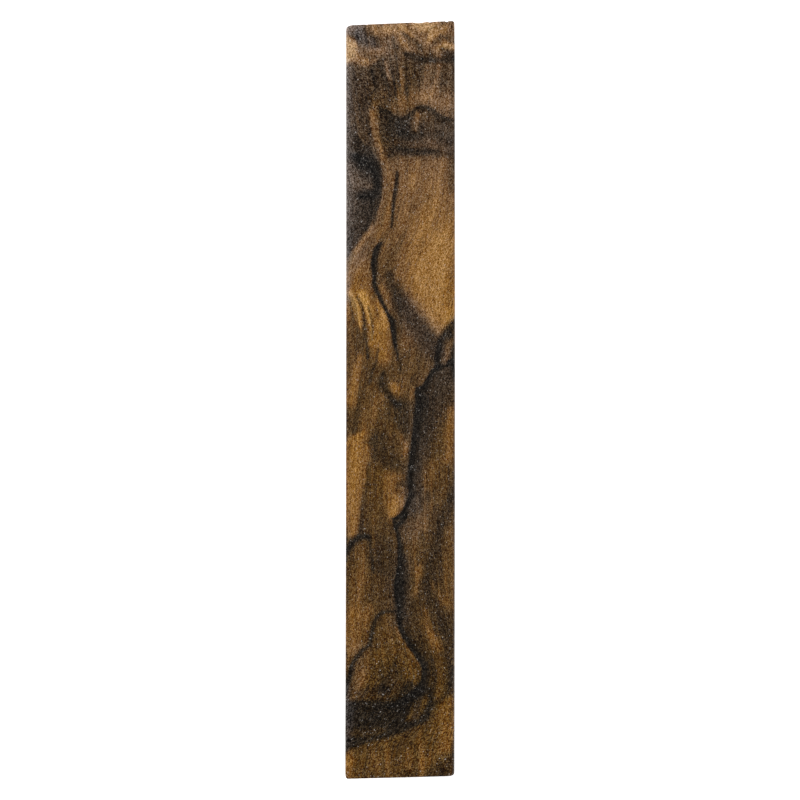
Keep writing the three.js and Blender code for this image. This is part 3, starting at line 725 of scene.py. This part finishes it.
plain_wood = 0.45
light = np.full(len(places), plain_wood)
for stroke in wood_strokes.values():
    light += laid(stroke, across, along)
bare = np.ones(len(places))
for stroke in stain_strokes.values():
    bare *= 1 - laid(stroke, across, along)
for ground in stain_grounds.values():
    bare *= 1 - filled(ground, across, along)
stain = 1 - bare
for stroke in clean_strokes.values():
    stain *= 1 - laid(stroke, across, along)
clear = np.ones(len(places))
for stroke in haze_and_sheen_strokes.values():
    clear *= 1 - laid(stroke, across, along)
warmth = np.zeros(len(places))
for stroke in warm_strokes.values():
    warmth += laid(stroke, across, along)

# Fibres run along the block, but lean over round the knot. From the near end to the far one,
# each entry gives a place along the block, and how far the fibres have moved across by there
# at the left side, the middle and the right side.
fibre_lines = [
    (-66, -12, -14, -14), (-60, -11, -13, -14), (-54, -7, -8, -12.5), (-48, -4, -5, -11),
    (-42, -3, -7, -13), (-36, -2.5, -9, -16), (-24, -2, -10, -18), (-12, -1, -9.5, -18),
    (-6, 0, -9.5, -17.5), (0, 2, -9, -17), (6, 3, -7, -15), (12, 2.5, -6, -13.5),
    (18, 0.5, -6.5, -13), (24, 3.5, -4, -11), (30, 5.5, 0.5, -7), (36, 6.5, 2.5, -5),
    (42, 5, 2.5, -3.5), (50, 3, 2, -1.5), (58, 1, 1, 0), (66, 0, 0, 0),
]
marks, *lines = np.array(fibre_lines).T
left, middle, right = [np.interp(along, marks, line) for line in lines]
station = (across / (WIDTH / 2)).clip(-1, 1)
grain = places.copy()
grain[:, 0] -= np.where(station < 0, mix(middle, left, -station), mix(middle, right, station))

# The sawn ends show growth rings, which curve round the tree's middle, outside the block.
pith = (34.0, -22.0)
ring_gap = 2.1
ring_strength = 0.08
ring_wander = 4.0
rings = np.hypot(places[:, 0] - pith[0], places[:, 2] - pith[1]) + ring_wander * shifts[:, 0]
sawn_faces = [face for face in block_mesh.polygons if face.material_index == 1]
on_end = np.zeros(len(places))
on_end[[corner for face in sawn_faces for corner in face.vertices]] = 1
light += ring_strength * on_end * np.sin(rings * 2 * np.pi / ring_gap)

for name, values in (("light", light), ("stain", stain), ("haze_and_sheen", 1 - clear),
                     ("warmth", warmth)):
    layer = block_mesh.attributes.new(name, "FLOAT", "POINT")
    layer.data.foreach_set("value", values.astype(np.float32))
layer = block_mesh.attributes.new("grain", "FLOAT_VECTOR", "POINT")
layer.data.foreach_set("vector", grain.astype(np.float32).ravel())

# Stabilized walnut
# Black walnut filled with clear acrylic resin under vacuum, cured and sanded to about 400
# grit. The eye sees brown heartwood with black veins under a thin satin skin, dark pores
# along the grain, and grey glints where the sanded resin turns to the light. These glints are
# painted into the colour as pale specks, with a few real pale resin flecks among them.


def linear(colour):
    """An sRGB hex colour as linear light, with full cover."""
    parts = [int(colour[i:i + 2], 16) / 255 for i in (1, 3, 5)]
    return [*(c / 12.92 if c <= 0.04045 else ((c + 0.055) / 1.055) ** 2.4 for c in parts), 1]


def node(tree, kind, settings=None, links=None):
    """Adds a node, sets its properties and inputs, and links sockets into its inputs."""
    made = tree.nodes.new(kind)
    for name, value in (settings or {}).items():
        if isinstance(name, str) and hasattr(made, name):
            setattr(made, name, value)
        else:
            made.inputs[name].default_value = value
    for name, socket in (links or {}).items():
        tree.links.new(socket, made.inputs[name])
    return made


# Heartwood from its darkest rings to its palest figure, and the colours that lie over it.
heartwood = [
    (0.0, "#0f0804"), (0.08, "#1c1008"), (0.17, "#2b1c0c"), (0.25, "#3a2611"), (0.33, "#483216"),
    (0.42, "#573c1b"), (0.5, "#664723"), (0.58, "#75512a"), (0.67, "#815b2d"), (0.75, "#8f6531"),
    (0.83, "#9a703c"), (1.0, "#b0864d"),
]
palest_light = 1.16
vein_black = "#070402"
resin_and_sheen_grey = "#827c7a"
painted_glint_white = "#d2cdc6"
pore_brown = "#150e06"

# Widths across the grain and lengths along it, in millimetres, and the noise's detail, or
# None for random cells. The finest real fibres and scratches are thinner than the picture can
# show, and are drawn as coarse as its points.
patterns = {
    "broad fibre": (0.6, 12.0, 1.0),
    "fibre": (0.24, 5.0, 2.0),
    "mottle": (0.7, 2.0, 2.0),
    "pore": (0.16, 0.6, 0.0),
    "fine fibre": (0.11, 0.5, 1.0),
    "grit_and_glint": (0.16, 0.145, None),
    "painted_glint": (0.15, 0.15, None),
}


# Nearly all values of a noise lie between these two.
noise_low = 0.2
noise_high = 0.8

# The curve between linear light and what a screen shows.
screen_gamma = 2.2


def walnut(name, sawn):
    """The wood's finish: sanded along the grain, or as sawn across it."""
    material = bpy.data.materials.new(name)
    material.use_nodes = True
    tree = material.node_tree
    tree.nodes.clear()
    out = node(tree, "ShaderNodeOutputMaterial")
    painted = {}
    for layer, output in (("grain", "Vector"), ("light", "Fac"), ("stain", "Fac"), ("haze_and_sheen", "Fac"),
                          ("warmth", "Fac")):
        reader = node(tree, "ShaderNodeAttribute", {"attribute_name": layer})
        painted[layer] = reader.outputs[output]

    # noise for fibres and pores, random cells for grit and for painted glints; a sawn end shows its
    # fibres end on, and less of them
    fibre_share, speck_share = (0.4, 0.6) if sawn else (1.0, 1.0)
    seen = {}
    for pattern, (wide, long, detail) in patterns.items():
        along = wide if sawn else long
        place = node(tree, "ShaderNodeVectorMath",
                     {"operation": "MULTIPLY", 1: (1 / wide, 1 / along, 1 / wide)},
                     {0: painted["grain"]}).outputs[0]
        if detail is None:
            seen[pattern] = node(tree, "ShaderNodeTexVoronoi", {"Scale": 1.0},
                                 {"Vector": place}).outputs["Color"]
        else:
            seen[pattern] = node(tree, "ShaderNodeTexNoise", {"Scale": 1.0, "Detail": detail},
                                 {"Vector": place}).outputs["Fac"]

    # lightness of the wood, varied along its fibres
    tone = painted["light"]
    for pattern, most in (("broad fibre", 0.12), ("fibre", 0.16), ("mottle", 0.03)):
        reach = most * fibre_share
        shift = node(tree, "ShaderNodeMapRange",
                     {"From Min": noise_low, "From Max": noise_high,
                      "To Min": -reach, "To Max": reach},
                     {"Value": seen[pattern]}).outputs[0]
        tone = node(tree, "ShaderNodeMath", {"operation": "ADD"}, {0: tone, 1: shift}).outputs[0]
    tone = node(tree, "ShaderNodeMapRange", {"From Max": palest_light}, {"Value": tone}).outputs[0]
    wood = node(tree, "ShaderNodeValToRGB", {}, {"Fac": tone})
    ramp = wood.color_ramp
    while len(ramp.elements) < len(heartwood):
        ramp.elements.new(1.0)
    for element, (place, colour) in zip(ramp.elements, heartwood):
        element.position = place
        element.color = linear(colour)

    # the stain breaks up along the fibres where it fades; a colour mix has its first colour
    # in socket 6, its second in socket 7 and its result in socket 2
    clean = node(tree, "ShaderNodeMath", {"operation": "SUBTRACT", 0: 1.0},
                 {1: painted["stain"]}).outputs[0]
    edge = node(tree, "ShaderNodeMath", {"operation": "MULTIPLY"},
                {0: painted["stain"], 1: clean}).outputs[0]
    ragged = node(tree, "ShaderNodeMapRange",
                  {"From Min": noise_low, "From Max": noise_high, "To Min": -0.3, "To Max": 0.3},
                  {"Value": seen["fibre"]}).outputs[0]
    stained = node(tree, "ShaderNodeMath", {"operation": "MULTIPLY_ADD", "use_clamp": True},
                   {0: edge, 1: ragged, 2: painted["stain"]}).outputs[0]
    colour = node(tree, "ShaderNodeMix", {"data_type": "RGBA", 7: linear(vein_black)},
                  {"Factor": stained, 6: wood.outputs["Color"]}).outputs[2]
    saturation = node(tree, "ShaderNodeMapRange",
                      {"From Min": -1.0, "From Max": 1.0, "To Min": 0.6, "To Max": 1.4},
                      {"Value": painted["warmth"]}).outputs[0]
    colour = node(tree, "ShaderNodeHueSaturation", {},
                  {"Color": colour, "Saturation": saturation}).outputs["Color"]
    # resin haze, and painted sheen along the left edge and far left corner, mixed in as grey
    colour = node(tree, "ShaderNodeMix", {"data_type": "RGBA", 7: linear(resin_and_sheen_grey)},
                  {"Factor": painted["haze_and_sheen"], 6: colour}).outputs[2]

    # pores in the wood, and painted glints with a few pale resin flecks among them, where the noise
    # passes from one value to a higher one, and how much they cover
    for pattern, low, high, most, tint in (("pore", 0.64, 0.72, 0.6, pore_brown),
                                           ("painted_glint", 0.88, 0.97, 0.5, painted_glint_white)):
        share = node(tree, "ShaderNodeMapRange",
                     {"From Min": low, "From Max": high, "To Min": 0.0, "To Max": most},
                     {"Value": seen[pattern]}).outputs[0]
        colour = node(tree, "ShaderNodeMix", {"data_type": "RGBA", 7: linear(tint)},
                      {"Factor": share, 6: colour}).outputs[2]

    # grit and fine scratches, whose lighter specks are painted glints of the sanded resin, are as
    # strong to the eye on dark wood as on pale, and have no colour of their own, so they are added
    # in equal steps of what a screen shows
    colour = node(tree, "ShaderNodeGamma", {"Gamma": 1 / screen_gamma},
                  {"Color": colour}).outputs[0]
    for pattern, most in (("grit_and_glint", 0.17), ("fine fibre", 0.07)):
        reach = most * speck_share
        shift = node(tree, "ShaderNodeMapRange",
                     {"From Min": noise_low, "From Max": noise_high,
                      "To Min": -reach, "To Max": reach},
                     {"Value": seen[pattern]}).outputs[0]
        colour = node(tree, "ShaderNodeVectorMath", {"operation": "ADD"},
                      {0: colour, 1: shift}).outputs[0]
    colour = node(tree, "ShaderNodeVectorMath",
                  {"operation": "MAXIMUM", 1: (0.01, 0.01, 0.01)}, {0: colour}).outputs[0]
    colour = node(tree, "ShaderNodeGamma", {"Gamma": screen_gamma}, {"Color": colour}).outputs[0]

    bump = node(tree, "ShaderNodeBump", {"Strength": 0.25, "Distance": 0.00003},
                {"Height": seen["grit_and_glint"]})
    shader = node(tree, "ShaderNodeBsdfPrincipled",
                  {"Roughness": 0.6 if sawn else 0.34, "IOR": 1.5, "Specular IOR Level": 0.18},
                  {"Base Color": colour, "Normal": bump.outputs["Normal"]})
    tree.links.new(shader.outputs[0], out.inputs["Surface"])
    return material


block_mesh.materials.append(walnut("walnut_heartwood_sanded", False))
block_mesh.materials.append(walnut("walnut_end_grain_sawn", True))

# The studio
# A light table of white opal acrylic, and soft light from all round with a dark opening
# overhead for the camera. The main light stands beyond the far end, to the left.

table_reach = 1.5
table_mesh = bpy.data.meshes.new("table_top")
table_bm = bmesh.new()
bmesh.ops.create_grid(table_bm, x_segments=1, y_segments=1, size=table_reach)
table_bm.to_mesh(table_mesh)
table_bm.free()
table = bpy.data.objects.new("table_top", table_mesh)
bpy.context.scene.collection.objects.link(table)
table_paint = bpy.data.materials.new("opal_acrylic_lit_from_below")
table_paint.use_nodes = True
table_shader = table_paint.node_tree.nodes["Principled BSDF"]
table_shader.inputs["Base Color"].default_value = linear("#f4f4f4")
table_shader.inputs["Roughness"].default_value = 0.9
table_shader.inputs["Specular IOR Level"].default_value = 0.1
table_shader.inputs["Emission Color"].default_value = linear("#ffffff")
table_shader.inputs["Emission Strength"].default_value = 0.65
table_mesh.materials.append(table_paint)

# The tent's light falls off from the foot of the opening to its rim, as the upward part of
# the direction grows.
opening_foot = 0.12
opening_rim = 0.6
tent_strength = 0.54
opening_strength = 0.016
bpy.context.scene.view_settings.view_transform = "Standard"
bpy.context.scene.view_settings.look = "None"
world = bpy.data.worlds.new("light_tent")
world.use_nodes = True
bpy.context.scene.world = world
tent = world.node_tree
tent.nodes.clear()
sky = node(tent, "ShaderNodeTexCoord")
upward = node(tent, "ShaderNodeSeparateXYZ", {}, {0: sky.outputs["Generated"]})
opening = node(tent, "ShaderNodeMapRange",
               {"interpolation_type": "SMOOTHSTEP", "From Min": opening_foot,
                "From Max": opening_rim, "To Min": tent_strength, "To Max": opening_strength},
               {"Value": upward.outputs["Z"]})
tent_light = node(tent, "ShaderNodeBackground", {"Color": linear("#f5f6f8")},
                  {"Strength": opening.outputs[0]})
node(tent, "ShaderNodeOutputWorld", {}, {"Surface": tent_light.outputs[0]})


def softbox(name, place, size, power):
    """A soft light that faces the block's middle."""
    data = bpy.data.lights.new(name, "AREA")
    data.shape = "SQUARE"
    data.size = size
    data.energy = power
    lamp = bpy.data.objects.new(name, data)
    lamp.location = place
    lamp.rotation_euler = (Vector((0, 0, 0)) - Vector(place)).to_track_quat("-Z", "Y").to_euler()
    bpy.context.scene.collection.objects.link(lamp)


# Places and sides in metres, power in watts.
softbox("key_light", (-0.62, 0.42, 0.5), 0.5, 8.7)
softbox("fill_light", (0.62, -0.3, 0.5), 0.5, 5.4)
